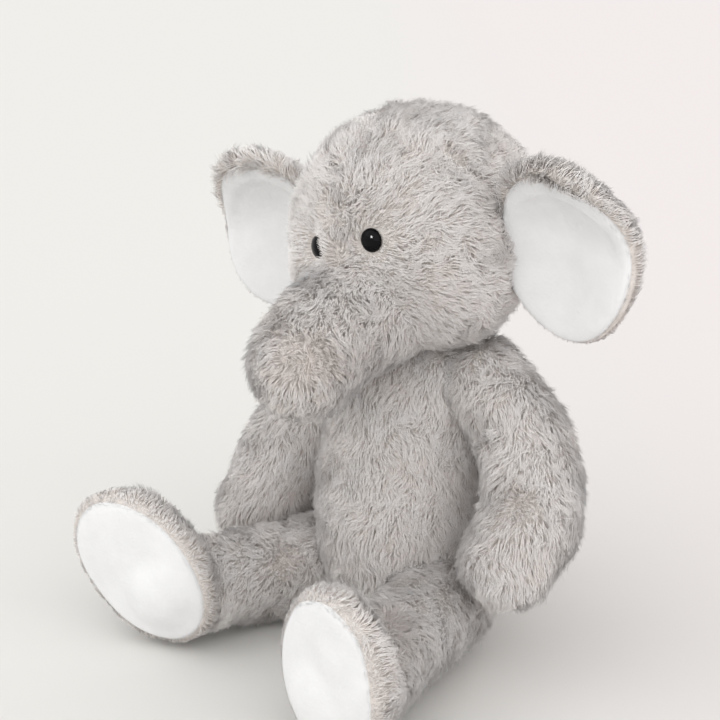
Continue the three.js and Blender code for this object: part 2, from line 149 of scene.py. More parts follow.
def tube(p, line):
    """Round bar along a line of (x, y, z, radius)."""
    nearest = np.full(len(p), 1e9)
    for a, b in zip(line[:-1], line[1:]):
        along = b[:3] - a[:3]
        t = np.clip((p - a[:3]) @ along / (along @ along), 0, 1)
        gap = np.linalg.norm(p - a[:3] - t[:, None] * along, axis=1)
        nearest = np.minimum(nearest, gap - a[3] - t * (b[3] - a[3]))
    return nearest


def join(a, b, soft):
    h = np.clip(0.5 + 0.5 * (b - a) / soft, 0, 1)
    return b * (1 - h) + a * h - soft * h * (1 - h)


def cut(a, b, soft):
    """What lies in both a and b, with a soft edge."""
    return -join(-a, -b, soft)


def waves(p, size, seed, count=9):
    """Smooth noise from -1 to 1 whose lumps are about size across."""
    rng = np.random.default_rng(seed)
    direction = unit(rng.normal(size=(count, 3))) * rng.uniform(0.6, 1.5, (count, 1)) * math.pi / size
    phase = rng.uniform(0, 2 * math.pi, count)
    return np.sin(p @ direction.T + phase).sum(1) / math.sqrt(count / 2) / 2


def waves3(p, size, seed):
    return np.stack([waves(p, size, seed + k) for k in range(3)], 1)


SEAT_LEVEL = 1.5  # where the skins are cut flat above the floor
TORSO_SEAT = ((0, 1, 44), (37, 40, 46))
TORSO_CHEST = ((0, 1, 92), (32, 34, 40))
SHOULDERS = np.array([[-20, 3, 118, 15], [20, 3, 118, 15]], float)
SKULL = ((0, 3, 46.5), (48, 47.5, 44))
CHEEK = ((19, -7, 29), 29)
MUZZLE = ((0, -23, 24), 23)
FOOT_FORM = ((0, 5, 0), (27.5, 16, 36.5))
SOLE_BED = 1.5  # depth of the flat face that a sole lies on
ARM_LINE = {
    "left": [(0, 0, 0, 15), (20, -1, -18, 17), (33, -9, -43, 18), (31, -20, -64, 17)],
    "right": [(0, 0, 0, 15), (13, -1, -20, 16), (26, -10, -47, 18), (36, -22, -80, 18.5)],
}
LEG_DRAWN = 92  # the length that the leg's line is drawn for
LEG_LINE = [(0, 9, 2, 18.5), (0, -25, 1, 17), (0, -50, 2, 17), (0, -75, 5, 18)]
TRUNK_LINE = [(0, 8, -2, 25), (0, -10, -8, 21.5), (0, -26, -13, 20.5), (0, -39, -20, 19)]
TAIL_LINE = [(0, 0, 0, 4), (0, 9, -2, 2.5), (0, 19, -8, 2), (0, 27, -15, 1.8)]


def torso_field(p):
    q = TORSO.into(p)
    form = join(blob(q, *TORSO_SEAT), blob(q, *TORSO_CHEST), 26)
    form = join(form, tube(q, SHOULDERS), 14)
    form = form + 0.9 * waves(q, 26, 3)
    return cut(form, SEAT_LEVEL - q[:, 2], 7)


def head_field(p):
    q = HEAD.into(p)
    form = blob(q, *SKULL)
    for side in SIDES.values():
        form = join(form, blob(q, CHEEK[0] * np.array([side, 1, 1]), CHEEK[1]), 14)
    form = join(form, blob(q, *MUZZLE), 12)
    return form + 0.7 * waves(q, 24, 5)


def trunk_field(p):
    q = TRUNK.into(p)
    return tube(q, curve(TRUNK_LINE)) + 0.6 * waves(q, 20, 7)


def arm_field(key):
    side = SIDES[key]
    line = curve(ARM_LINE[key]) * (side, 1, 1, 1)

    def field(p):
        q = ARM[key].into(p)
        return tube(q, line) + 0.9 * waves(q, 22, 11 + side)

    return field


def leg_field(key):
    side = SIDES[key]

    def field(p):
        q = LEG[key].into(p)
        f = FOOT[key].into(p)
        foot = cut(blob(f, *FOOT_FORM), SOLE_BED - f[:, 1], 4)
        line = curve(LEG_LINE) * (1, LEG_LENGTH[key] / LEG_DRAWN, 1, 1)
        form = join(tube(q, line), foot, 5)
        return cut(form + 0.7 * waves(q, 22, 15 + side), SEAT_LEVEL - p[:, 2], 5)

    return field


def tail_field(p):
    return tube(TAIL.into(p), curve(TAIL_LINE))


EAR_MIDDLE = 33
EAR_LEVEL = -2.5
EAR_HALF = np.array([31.5, 35.5])
EAR_THICK = 3.4
EAR_DEPTH = 4.6
EAR_CUP = 6
EAR_CURL = 18


def ear_forward(across, up):
    """How far an ear's sheet stands forward of its root: a cup whose top curls over."""
    reach = np.hypot(across, up)
    curl = np.clip((up + 0.25 * np.abs(across) - 0.1) / 0.9, 0, 1.1)
    spin = np.arctan2(up, across)
    return EAR_CUP * reach**2 + EAR_CURL * curl**2 - 1.6 * np.sin(3 * spin + 1) * reach**2


def ear_steep(across, up, step=0.02):
    """Length of the ear's sheet for each length across the ear, where it slopes."""
    here = ear_forward(across, up)
    aside = (ear_forward(across + step, up) - here) / (step * EAR_HALF[0])
    above = (ear_forward(across, up + step) - here) / (step * EAR_HALF[1])
    return np.sqrt(1 + aside**2 + above**2)


def ear_sheet(key, p):
    """Place on an ear: across and up from its middle as shares of its size, and depth behind its face."""
    q = EAR[key].into(p)
    across = (q[:, 0] * SIDES[key] - EAR_MIDDLE) / EAR_HALF[0]
    up = (q[:, 2] - EAR_LEVEL) / EAR_HALF[1]
    depth = (q[:, 1] + ear_forward(across, up)) / ear_steep(across, up)
    return across, up, depth


def ear_field(key):
    def field(p):
        across, up, depth = ear_sheet(key, p)
        flat = np.abs(depth - EAR_DEPTH) - EAR_THICK
        return cut((np.hypot(across, up) - 1) * EAR_HALF[0], flat, 5) * 0.9

    return field


# ---- meshes
FLOOR_CLEAR = 0.25
CLOTH_QUALITY = 4
CLOTH_PRESSURE = 4
CLOTH_FRAMES = 20


def surface_net(field, low, high, step):
    """Corners and quads of the form's surface, from its field on a grid."""
    low = np.asarray(low, float)
    counts = np.ceil((np.asarray(high) - low) / step).astype(int) + 1
    axes = [low[i] + step * np.arange(counts[i]) for i in range(3)]
    grid = np.stack(np.meshgrid(*axes, indexing="ij"), -1)
    value = field(grid.reshape(-1, 3)).reshape(counts)
    inside = value < 0
    cells = counts - 1
    total = np.zeros((*cells, 3))
    hits = np.zeros(cells)

    def corner(array, offset):
        return array[tuple(slice(o, o + n) for o, n in zip(offset, cells))]

    corners = [(i, j, k) for i in (0, 1) for j in (0, 1) for k in (0, 1)]
    for a in corners:
        for axis in range(3):
            if a[axis]:
                continue
            b = tuple(v + (n == axis) for n, v in enumerate(a))
            crossed = corner(inside, a) != corner(inside, b)
            start, end = corner(value, a), corner(value, b)
            share = np.where(crossed, start / np.where(crossed, start - end, 1), 0)
            point = np.array(a, float) + share[..., None] * (np.array(b) - np.array(a))
            total += point * crossed[..., None]
            hits += crossed
    used = hits > 0
    number = np.full(cells, -1)
    number[used] = np.arange(used.sum())
    index = np.argwhere(used)
    points = low + step * (index + total[used] / hits[used][:, None])

    quads = []
    for axis in range(3):
        first = tuple(slice(0, -1) if n == axis else slice(1, -1) for n in range(3))
        second = tuple(slice(1, None) if n == axis else slice(1, -1) for n in range(3))
        change = np.argwhere(inside[first] != inside[second])
        change += [0 if n == axis else 1 for n in range(3)]
        u, v = [n for n in range(3) if n != axis]
        ring = []
        for du, dv in ((0, 0), (1, 0), (1, 1), (0, 1)):
            cell = change.copy()
            cell[:, u] -= du
            cell[:, v] -= dv
            ring.append(number[tuple(cell.T)])
        ring = np.stack(ring, 1)
        solid_first = inside[tuple(change.T)]
        flip = solid_first if axis == 1 else ~solid_first
        ring[flip] = ring[flip][:, ::-1]
        quads.append(ring)
    return points, np.vstack(quads)


def slope(field, points, step=0.3):
    sides = []
    for axis in range(3):
        shift = np.zeros(3)
        shift[axis] = step
        sides.append(field(points + shift) - field(points - shift))
    return np.stack(sides, 1) / (2 * step)


def settle(field, points, height=0.0, rounds=3):
    """Points moved to a height, one for all or one each, above the form's surface."""
    for _ in range(rounds):
        grade = slope(field, points)
        size = np.maximum((grade**2).sum(1, keepdims=True), 0.2)
        points = points - (field(points) - height)[:, None] * grade / size
    return points


def make_mesh(name, points, faces, material, smooth=True):
    """A new object from points in millimetres and equal-sided faces."""
    faces = np.asarray(faces)
    mesh = bpy.data.meshes.new(name)
    mesh.vertices.add(len(points))
    mesh.vertices.foreach_set("co", (np.asarray(points) * METRE).astype(np.float32).ravel())
    mesh.loops.add(faces.size)
    mesh.loops.foreach_set("vertex_index", faces.astype(np.int32).ravel())
    mesh.polygons.add(len(faces))
    sides = faces.shape[1]
    mesh.polygons.foreach_set("loop_start", np.arange(0, faces.size, sides, dtype=np.int32))
    mesh.polygons.foreach_set("use_smooth", np.full(len(faces), smooth))
    mesh.update(calc_edges=True)
    made = bpy.data.objects.new(name, mesh)
    bpy.context.scene.collection.objects.link(made)
    for entry in material if isinstance(material, list) else [material]:
        mesh.materials.append(entry)
    return made


def mesh_points(obj):
    flat = np.zeros(len(obj.data.vertices) * 3, np.float32)
    obj.data.vertices.foreach_get("co", flat)
    return flat.reshape(-1, 3).astype(float) / METRE


def formed(name, field, low, high, step, material):
    points, quads = surface_net(field, low, high, step)
    return make_mesh(name, settle(field, points), quads, material)


def puffed(cloth, most):
    """Lets the filling press a sewn piece out by simulation, no point further than most."""
    cut_out = mesh_points(cloth)
    bag = cloth.modifiers.new("filling", "CLOTH")
    bag.settings.quality = CLOTH_QUALITY
    bag.settings.use_pressure = True
    bag.settings.uniform_pressure_force = CLOTH_PRESSURE
    bag.settings.effector_weights.gravity = 0
    bag.collision_settings.use_collision = False
    bag.collision_settings.use_self_collision = False
    bag.point_cache.frame_start, bag.point_cache.frame_end = 1, CLOTH_FRAMES
    for number in range(1, CLOTH_FRAMES + 1):
        bpy.context.scene.frame_set(number)
    pressed = cloth.evaluated_get(bpy.context.evaluated_depsgraph_get())
    flat = np.zeros(cut_out.size, np.float32)
    pressed.data.vertices.foreach_get("co", flat)
    move = flat.reshape(-1, 3).astype(float) / METRE - cut_out
    far = np.linalg.norm(move, axis=1, keepdims=True)
    move *= most * np.tanh(far / most) / np.maximum(far, 1e-6)
    cloth.modifiers.remove(bag)
    bpy.context.scene.frame_set(1)
    points = cut_out + move
    points[:, 2] = np.maximum(points[:, 2], FLOOR_CLEAR)
    cloth.data.vertices.foreach_set("co", (points * METRE).astype(np.float32).ravel())
    cloth.data.update()
    return cloth


def node_room(node, extra=6):
    low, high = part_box(node)
    return np.array(low) / METRE - extra, np.array(high) / METRE + extra


# ---- materials
def finish(name, colour, roughness=0.9, sheen=0.0, specular=0.25):
    """A material whose settings are the same all over."""
    material = bpy.data.materials.new(name)
    material.use_nodes = True
    shader = material.node_tree.nodes["Principled BSDF"]
    shader.inputs["Base Color"].default_value = (*colour, 1)
    shader.inputs["Roughness"].default_value = roughness
    shader.inputs["Specular IOR Level"].default_value = specular
    shader.inputs["Sheen Weight"].default_value = sheen
    shader.inputs["Sheen Roughness"].default_value = 0.5
    return material


def noise(tree, scale, detail=3.0, stretch=(1, 1, 1)):
    """Noise in the object's own space, with scale lumps to the metre."""
    place = tree.nodes.new("ShaderNodeTexCoord")
    mapping = tree.nodes.new("ShaderNodeMapping")
    mapping.inputs["Scale"].default_value = stretch
    texture = tree.nodes.new("ShaderNodeTexNoise")
    texture.inputs["Scale"].default_value = scale
    texture.inputs["Detail"].default_value = detail
    tree.links.new(place.outputs["Object"], mapping.inputs["Vector"])
    tree.links.new(mapping.outputs["Vector"], texture.inputs["Vector"])
    return texture.outputs["Fac"]


def weave(tree, scale):
    """Threads over and under each other, as bands along two axes multiplied."""
    place = tree.nodes.new("ShaderNodeTexCoord")
    bands = []
    for direction in ("X", "Z"):
        wave = tree.nodes.new("ShaderNodeTexWave")
        wave.bands_direction = direction
        wave.inputs["Scale"].default_value = scale
        wave.inputs["Distortion"].default_value = 0.6
        tree.links.new(place.outputs["Object"], wave.inputs["Vector"])
        bands.append(wave.outputs["Fac"])
    product = tree.nodes.new("ShaderNodeMath")
    product.operation = "MULTIPLY"
    for band, socket in zip(bands, product.inputs):
        tree.links.new(band, socket)
    return product.outputs["Value"]


def mottled(name, dark, light, scale, bump=0.0, woven=0, roughness=0.9, sheen=0.0, specular=0.25):
    """A cloth or plastic whose colour drifts between two tones, with a fine raised surface."""
    material = finish(name, light, roughness, sheen, specular)
    tree = material.node_tree
    shader = tree.nodes["Principled BSDF"]
    ramp = tree.nodes.new("ShaderNodeValToRGB")
    ramp.color_ramp.elements[0].color = (*dark, 1)
    ramp.color_ramp.elements[0].position = 0.32
    ramp.color_ramp.elements[1].color = (*light, 1)
    ramp.color_ramp.elements[1].position = 0.68
    tree.links.new(noise(tree, scale), ramp.inputs["Fac"])
    tree.links.new(ramp.outputs["Color"], shader.inputs["Base Color"])
    raised = tree.nodes.new("ShaderNodeBump")
    raised.inputs["Strength"].default_value = bump
    raised.inputs["Distance"].default_value = BUMP_DEPTH
    surface = weave(tree, woven) if woven else noise(tree, scale * 7, 2.0)
    tree.links.new(surface, raised.inputs["Height"])
    tree.links.new(raised.outputs["Normal"], shader.inputs["Normal"])
    return material


def dusted(material, low, high, scale):
    """Gives a finish a roughness that drifts between two values."""
    tree = material.node_tree
    spread = tree.nodes.new("ShaderNodeMapRange")
    spread.inputs["To Min"].default_value = low
    spread.inputs["To Max"].default_value = high
    tree.links.new(noise(tree, scale), spread.inputs["Value"])
    tree.links.new(spread.outputs["Result"], tree.nodes["Principled BSDF"].inputs["Roughness"])


BUMP_DEPTH = 0.0006
TIP_TONES = [
    (0.882, 0.85, 0.828),
    (0.868, 0.833, 0.812),
    (0.85, 0.81, 0.787),
    (0.872, 0.855, 0.848),
    (0.832, 0.77, 0.732),
]
# The root tones are darker and warmer than the tips: painted shade deep in the pile, between the strands.
ROOT_SHADE_TONES = [(0.82, 0.757, 0.722), (0.765, 0.695, 0.652)]
PILE = [finish(f"pile_tip_{n}", tone, sheen=0.25) for n, tone in enumerate(TIP_TONES)]
PILE += [finish(f"pile_root_shade_{n}", tone) for n, tone in enumerate(ROOT_SHADE_TONES)]
NAP = finish("white_nap", (0.80, 0.80, 0.805), sheen=0.2)
SKIN = mottled("pile_backing", (0.65, 0.60, 0.565), (0.74, 0.695, 0.66), 160, bump=0.6)
VELOUR = mottled("white_velour", (0.745, 0.745, 0.75), (0.785, 0.785, 0.79), 90, bump=0.35, sheen=0.3)
GLOSS = finish("black_eye", (0.002, 0.002, 0.003), roughness=0.05, specular=0.12)
FIBRE = mottled("fibre_fill", (0.80, 0.79, 0.76), (0.93, 0.925, 0.905), 220, bump=1.0)
WADDING = mottled("sheet_wadding", (0.84, 0.84, 0.82), (0.93, 0.93, 0.91), 300, bump=0.8)
POUCH = mottled("pouch_weave", (0.74, 0.70, 0.64), (0.84, 0.80, 0.74), 60, bump=0.8, woven=420)
PELLET = mottled("pellet_plastic", (0.80, 0.80, 0.77), (0.88, 0.88, 0.86), 200, roughness=0.4)
THREAD = mottled("seam_thread", (0.55, 0.52, 0.49), (0.70, 0.665, 0.63), 900, bump=0.5)
WASHER = mottled("washer_plastic", (0.80, 0.80, 0.78), (0.86, 0.86, 0.84), 150, bump=0.1, roughness=0.45)
TAPE = mottled("label_weave", (0.90, 0.895, 0.88), (0.945, 0.94, 0.93), 80, bump=0.5, woven=520)
dusted(GLOSS, 0.03, 0.09, 400)


# ---- pile
def triangles_of(obj):
    obj.data.calc_loop_triangles()
    flat = np.zeros(len(obj.data.loop_triangles) * 3, np.int32)
    obj.data.loop_triangles.foreach_get("vertices", flat)
    return flat.reshape(-1, 3)


def scatter(obj, density, rng):
    """Random points on a mesh, a number to the square millimetre, and the way out at each."""
    points, faces = mesh_points(obj), triangles_of(obj)
    normals = np.zeros(len(points) * 3, np.float32)
    obj.data.vertex_normals.foreach_get("vector", normals)
    normals = normals.reshape(-1, 3)
    a, b, c = (points[faces[:, k]] for k in range(3))
    areas = np.linalg.norm(np.cross(b - a, c - a), axis=1) / 2
    count = int(areas.sum() * density)
    picks = rng.choice(len(faces), count, p=areas / areas.sum())
    u, v = rng.random(count), rng.random(count)
    over = u + v > 1
    u[over], v[over] = 1 - u[over], 1 - v[over]
    mix = np.stack([1 - u - v, u, v], 1)
    spots = (points[faces[picks]] * mix[..., None]).sum(1)
    return spots, unit((normals[faces[picks]] * mix[..., None]).sum(1))


STRAND_BASE = [(0, 2, 1), (0, 1, 4), (0, 4, 3), (1, 2, 5), (1, 5, 4), (2, 0, 3), (2, 3, 5)]
STRAND_TIP = [(3, 4, 6), (4, 5, 6), (5, 3, 6)]
STRAND_FACES = np.array(STRAND_BASE + STRAND_TIP)
STRAND_IS_TIP = np.arange(len(STRAND_FACES)) >= len(STRAND_BASE)
STRANDS_A_PIECE = 18500
OWN_SHADING = 0.12  # share of a strand's own direction in how it takes light


def strand_mesh(name, root, middle, tip, width, outward, materials, tip_slot, root_slot):
    """Closed three-sided strands that narrow to a point."""
    aim = unit(tip - root)
    across = unit(np.cross(aim, outward))
    over = np.cross(aim, across)
    rings = []
    for centre, radius in ((root, width), (middle, width * 0.85)):
        for angle in (math.pi / 2, math.pi * 7 / 6, math.pi * 11 / 6):
            rings.append(centre + radius[:, None] * (math.cos(angle) * across + math.sin(angle) * over))
    points = np.stack([*rings, tip], 1)
    points[..., 2] = np.maximum(points[..., 2], FLOOR_CLEAR)
    faces = (STRAND_FACES[None] + 7 * np.arange(len(root))[:, None, None]).reshape(-1, 3)
    made = make_mesh(name, points.reshape(-1, 3), faces, materials)
    slots = np.where(STRAND_IS_TIP[None], tip_slot[:, None], root_slot[:, None])
    made.data.polygons.foreach_set("material_index", slots.astype(np.int32).ravel())
    own = np.zeros(len(made.data.vertices) * 3, np.float32)
    made.data.vertex_normals.foreach_get("vector", own)
    mixed = unit(own.reshape(-1, 7, 3) * OWN_SHADING + outward[:, None, :])
    made.data.normals_split_custom_set_from_vertices(mixed.reshape(-1, 3))
    return made


PILE_DENSITY = 2.4  # strands to the square millimetre
PILE_LENGTH = 8.2
PILE_WIDTH = 0.165
PILE_STAND = 0.44  # how far the pile stands up from the skin
LOCK_AREA = 3.2  # square millimetres to a lock of strands
SWAY = ((0.5, 14, 31), (0.6, 4.5, 37))  # share, size and seed of each drift in the comb
TONE_EDGES = (-1.3, -0.5, 0.3, 1.1)
TONE_ORDER = np.array([4, 2, 1, 0, 3])  # tip tones from the darkest patches to the lightest


def combed(spots, outward, flow, whorls):
    """The way each strand is combed, and how far the pile has opened there, from 0 to 1."""
    drift = flow(spots, outward)
    for share, size, seed in SWAY:
        drift = drift + share * waves3(spots, size, seed)
    opened = np.zeros(len(spots))
    for centre, size in whorls:
        gap = spots - centre
        near = np.exp(-((np.linalg.norm(gap, axis=1) / size) ** 2))
        opened = np.maximum(opened, near)
        swirl = 0.45 * unit(gap) + 0.9 * waves3(spots, 2.6, 67)
        drift = drift * (1 - 0.85 * near[:, None]) + near[:, None] * swirl
    drift += 0.25 * RNG.normal(size=spots.shape)
    return unit(drift - (drift * outward).sum(1, keepdims=True) * outward), opened


def bent(spots, outward, comb, opened, length, reach):
    """The middle and the tip of each strand, which leaves the skin steeply and bends over."""
    count = len(spots)
    stands = PILE_STAND * (1 + 0.4 * waves(spots, 8, 41) + 0.25 * RNG.normal(size=count)) + 1.6 * opened
    stands = np.clip(stands, 0.15, 2.2)[:, None]
    lengths = length * (1 + 0.12 * waves(spots, 7, 43) + RNG.uniform(-0.25, 0.14, count))
    lengths = lengths * (1 - 0.3 * opened)
    if reach is not None:
        lengths = lengths * reach(spots)
    lengths = lengths[:, None]
    leaving = unit(comb + 2.2 * stands * outward)
    landing = unit(comb + 0.7 * stands * outward + 0.24 * RNG.normal(size=(count, 3)))
    middle = spots + 0.48 * lengths * leaving
    return middle, middle + 0.52 * lengths * landing


def gathered(spots, middle, tip, density):
    """Strands pulled to the one at the heart of their lock, and which one that is."""
    count = len(spots)
    locks = RNG.choice(count, max(8, int(count / density / LOCK_AREA)), replace=False)
    tree = KDTree(len(locks))
    for n, at in enumerate(spots[locks]):
        tree.insert(at, n)
    tree.balance()
    mine = locks[np.array([tree.find(at)[1] for at in spots])]
    pull = RNG.uniform(0.15, 0.75, count)[:, None]
    middle = middle + 0.3 * pull * (middle[mine] - middle)
    tip = tip + pull * (tip[mine] - tip)
    return middle, tip, mine


def grow(name, skin, flow, keep=None, reach=None, length=PILE_LENGTH, density=PILE_DENSITY, whorls=()):
    """Pile on a skin, gathered in small locks and combed along flow(points, normals).

    Each whorl is a (centre, size) where the pile opens and stands, so that its darker root tones show, and
    where the tip tones are painted darker: both are painted shade.
    """
    density = density * 1
    width = PILE_WIDTH * 1
    spots, outward = scatter(skin, density, RNG)
    if keep is not None:
        kept = keep(spots)
        spots, outward = spots[kept], outward[kept]
    count = len(spots)
    comb, opened = combed(spots, outward, flow, whorls)
    middle, tip = bent(spots, outward, comb, opened, length, reach)
    middle, tip, mine = gathered(spots, middle, tip, density)

    # Tip tones drift at random and from lock to lock; where the pile opens at a whorl they are painted
    # darker, as painted shade.
    tone_and_whorl_shade = waves(spots, 18, 47) + 0.7 * waves(spots, 6, 53) + 0.5 * RNG.normal(size=count)
    tone_and_whorl_shade += 0.5 * np.sin(12.9898 * mine) - 2.2 * opened
    tip_slot = TONE_ORDER[np.digitize(tone_and_whorl_shade, TONE_EDGES)]
    # Root faces take the darker root tones, painted shade.
    root_slot = len(TIP_TONES) + (RNG.random(count) < 0.4)
    widths = width * RNG.uniform(0.75, 1.2, count)
    sunk = spots - 0.4 * outward
    pieces = []
    for part, start in enumerate(range(0, count, STRANDS_A_PIECE)):
        s = slice(start, start + STRANDS_A_PIECE)
        shape = [array[s] for array in (sunk, middle, tip, widths, outward)]
        piece = strand_mesh(f"{name}_{part + 1}", *shape, PILE, tip_slot[s], root_slot[s])
        pieces.append(piece)
    return pieces


def grow_nap(name, skin, keep, lean, length=1.1, density=1.6, width=0.1):
    """Short white pile that softens the edge of a velour face."""
    spots, outward = scatter(skin, density * (1), RNG)
    kept = keep(spots)
    spots, outward = spots[kept], outward[kept]
    count = len(spots)
    lean = np.asarray(lean, float) + 0.6 * waves3(spots, 6, 61)
    lengths = length * RNG.uniform(0.7, 1.15, (count, 1))
    middle = spots + 0.5 * lengths * unit(outward + 0.3 * lean)
    tip = middle + 0.5 * lengths * unit(outward + 0.7 * lean + 0.4 * RNG.normal(size=(count, 3)))
    widths = width * RNG.uniform(0.8, 1.2, count)
    only = np.zeros(count, int)
    made = strand_mesh(name, spots - 0.2 * outward, middle, tip, widths, outward, [NAP], only, only)
    return made


def toward(place, direction):
    aim = place.matrix @ np.asarray(direction, float)
    return lambda p, n: np.broadcast_to(aim, p.shape).copy()


# ---- fillings
FILL_INSET = 4.5
FILL_STEP = 4.0
FILL_LUMPS = 0.8


def filling(node, body, field):
    """Loose fibre that fills a bag: the bag's form drawn in, with lumps."""
    low, high = node_room(node, 8)

    def fill_field(p):
        return field(p) + FILL_INSET + FILL_LUMPS * waves(p, 9, 91)

    fill = formed(node + "_fibre", fill_field, low, high, FILL_STEP, FIBRE)
    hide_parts(node)
    if isinstance(body, str):
        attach(fill, body)
    else:
        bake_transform(fill)
    return fill


# ---- torso
def grow_torso():
    low, high = node_room("torso_cover", 8)
    skin = puffed(formed("torso_skin", torso_field, low, high + (0, 0, 8), 2.5, SKIN), 1.5)
    return [skin, *grow("torso_pile", skin, toward(TORSO, (0.1, -0.15, -1)))]


torso = grow_torso()
for piece in torso:
    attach(piece, "torso")
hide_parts("torso_cover")

POUCH_CENTRE = (0, 11, 17.5)
POUCH_HALF = np.array([16, 13.5, 10])
POUCH_CLOTH = 1.2


def pouch_field(p):
    return blob(TORSO.into(p), POUCH_CENTRE, POUCH_HALF)


def torso_fill_field(p):
    return cut(torso_field(p), 6 - pouch_field(p), 2)


filling("torso_stuffing", "torso", torso_fill_field)


# ---- pellet pouch
def pouch_shell(p):
    outer = pouch_field(p) + 0.35 * waves(TORSO.into(p), 6, 95)
    return np.abs(outer + POUCH_CLOTH / 2) - POUCH_CLOTH / 2


low, high = node_room("pellet_pouch", 2)
pouch = formed("pouch_bag", pouch_shell, low, high, 0.9, POUCH)
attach(pouch, "torso")
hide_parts("pellet_pouch")

PELLET_RADIUS = 1.25
PELLET_PITCH = 2.75


def pellet_places():
    """Middles of pellets that lie close together inside the pouch."""
    counts = np.ceil(POUCH_HALF / PELLET_PITCH).astype(int)
    axes = [np.arange(-n, n + 1) * PELLET_PITCH for n in counts]
    grid = np.stack(np.meshgrid(*axes, indexing="ij"), -1).reshape(-1, 3)
    shares = np.linalg.norm(grid / (POUCH_HALF - POUCH_CLOTH - PELLET_RADIUS - 0.4), axis=1)
    return TORSO.out(grid[shares < 1] + POUCH_CENTRE)


def pellet_mesh():
    spin = np.linspace(0, 2 * math.pi, 8, endpoint=False)
    rings = []
    for t in (math.pi / 4, math.pi / 2, 3 * math.pi / 4):
        across = math.sin(t)
        rings.append(np.stack([across * np.cos(spin), across * np.sin(spin), 0 * spin + math.cos(t)], 1))
    ball = np.vstack([[[0, 0, 1]], *rings, [[0, 0, -1]]]) * PELLET_RADIUS
    faces = []
    for s in range(8):
        t = (s + 1) % 8
        faces.append((0, 1 + s, 1 + t))
        for ring in (0, 1):
            a, b = 1 + ring * 8 + s, 1 + ring * 8 + t
            faces += [(a, a + 8, b + 8), (a, b + 8, b)]
        faces.append((25, 17 + t, 17 + s))
    places = pellet_places()
    points = (ball[None] + places[:, None]).reshape(-1, 3)
    faces = (np.array(faces)[None] + len(ball) * np.arange(len(places))[:, None, None]).reshape(-1, 3)
    return make_mesh("pellets", points, faces, PELLET)


pellets = pellet_mesh()
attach(pellets, "torso")
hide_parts("pellet_fill")


# ---- head
EYE_SIDE = math.radians(19)
EYE_SEAT = 45
EYE_RADIUS = 4.8
EYE_DOME = 3.2
EYE_LEVEL = {"left": 0.0, "right": -4.5}
EYE_TWIST = {"left": 15, "right": 8}  # degrees that each eye turns towards the toy's right
EYE_SUNK = 0.7
HEAD_CENTRE = np.array([0.0, 0.5, 46])
JOINED_DEPTH = 1.5  # how far pile still grows inside the piece it is sewn to
BRIDGE = (-5, -45, 34)  # the stitch between the eyes that pulls the face in


def eye_line(key, distance):
    direction = np.array([SIDES[key] * math.sin(EYE_SIDE), -math.cos(EYE_SIDE), 0])
    return HEAD.out(HEAD_CENTRE + (0, 0, EYE_LEVEL[key]) + distance * direction)


def eye_gap(p):
    return np.min([np.linalg.norm(p - eye_line(key, EYE_SEAT), axis=1) for key in SIDES], axis=0)


def dented_head(p):
    bridge_gap = np.linalg.norm(HEAD.into(p) - BRIDGE, axis=1)
    dents = 2.2 * np.exp(-((eye_gap(p) / 7.5) ** 2)) + 1.6 * np.exp(-((bridge_gap / 6) ** 2))
    return head_field(p) + dents


def head_flow(p, n):
    q = HEAD.into(p)
    brow = unit(q - (0, -46, 40)) * (1.3, 1, 0.55)
    sag = np.clip((34 - q[:, 2]) / 30, 0, 1)[:, None]
    flow = (brow + sag * np.array([0, 0.2, -0.5])) @ HEAD.matrix.T
    for key in SIDES:
        eye = eye_line(key, EYE_SEAT)
        gap = np.linalg.norm(p - eye, axis=1)[:, None]
        flow = flow + 2 * unit(p - eye) * np.exp(-((gap / 9) ** 2))
    return flow


def near_eyes(p):
    return np.clip(0.38 + (eye_gap(p) - 5) / 14, 0.38, 1)


def head_keep(p):
    """Where the head has pile: not under the eyes, nor inside the trunk."""
    return (eye_gap(p) > EYE_RADIUS + 0.2) & (trunk_field(p) > -JOINED_DEPTH)


def grow_head():
    low, high = node_room("head_cover", 5)
    skin = puffed(formed("head_skin", dented_head, low, high, 2.5, SKIN), 1.0)
    # At each whorl the pile opens and stands, and its tips are painted darker, as painted shade.
    whorls = [(HEAD.out(BRIDGE), 3)]
    return [skin, *grow("head_pile", skin, head_flow, keep=head_keep, reach=near_eyes, whorls=whorls)]


head = grow_head()
for piece in head:
    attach(piece, "head")
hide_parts("head_cover")
filling("head_stuffing", "head", lambda p: cut(head_field(p), 5 - trunk_field(p), 3))


# ---- trunk
TRUNK_BLEND = {"start": TRUNK.out((0, -2, 0)) * METRE, "end": TRUNK.out((0, -22, -10)) * METRE}


def trunk_keep(p):
    return (head_field(p) > -JOINED_DEPTH) & (torso_field(p) > 0)


def grow_trunk():
    low, high = node_room("trunk_cover", 10)
    skin = puffed(formed("trunk_skin", trunk_field, low, high, 2.2, SKIN), 1.0)
    # At the trunk's end the pile opens and its tips are painted darker, as painted shade.
    whorls = [(TRUNK.out((13, -50, -15)), 13)]
    flow = toward(TRUNK, (0, -0.6, -0.8))
    return [skin, *grow("trunk_pile", skin, flow, keep=trunk_keep, whorls=whorls)]


trunk = grow_trunk()
for piece in trunk:
    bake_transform(piece)
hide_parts("trunk_cover")
filling("trunk_stuffing", ("head", "trunk", TRUNK_BLEND["start"], TRUNK_BLEND["end"]), trunk_field)


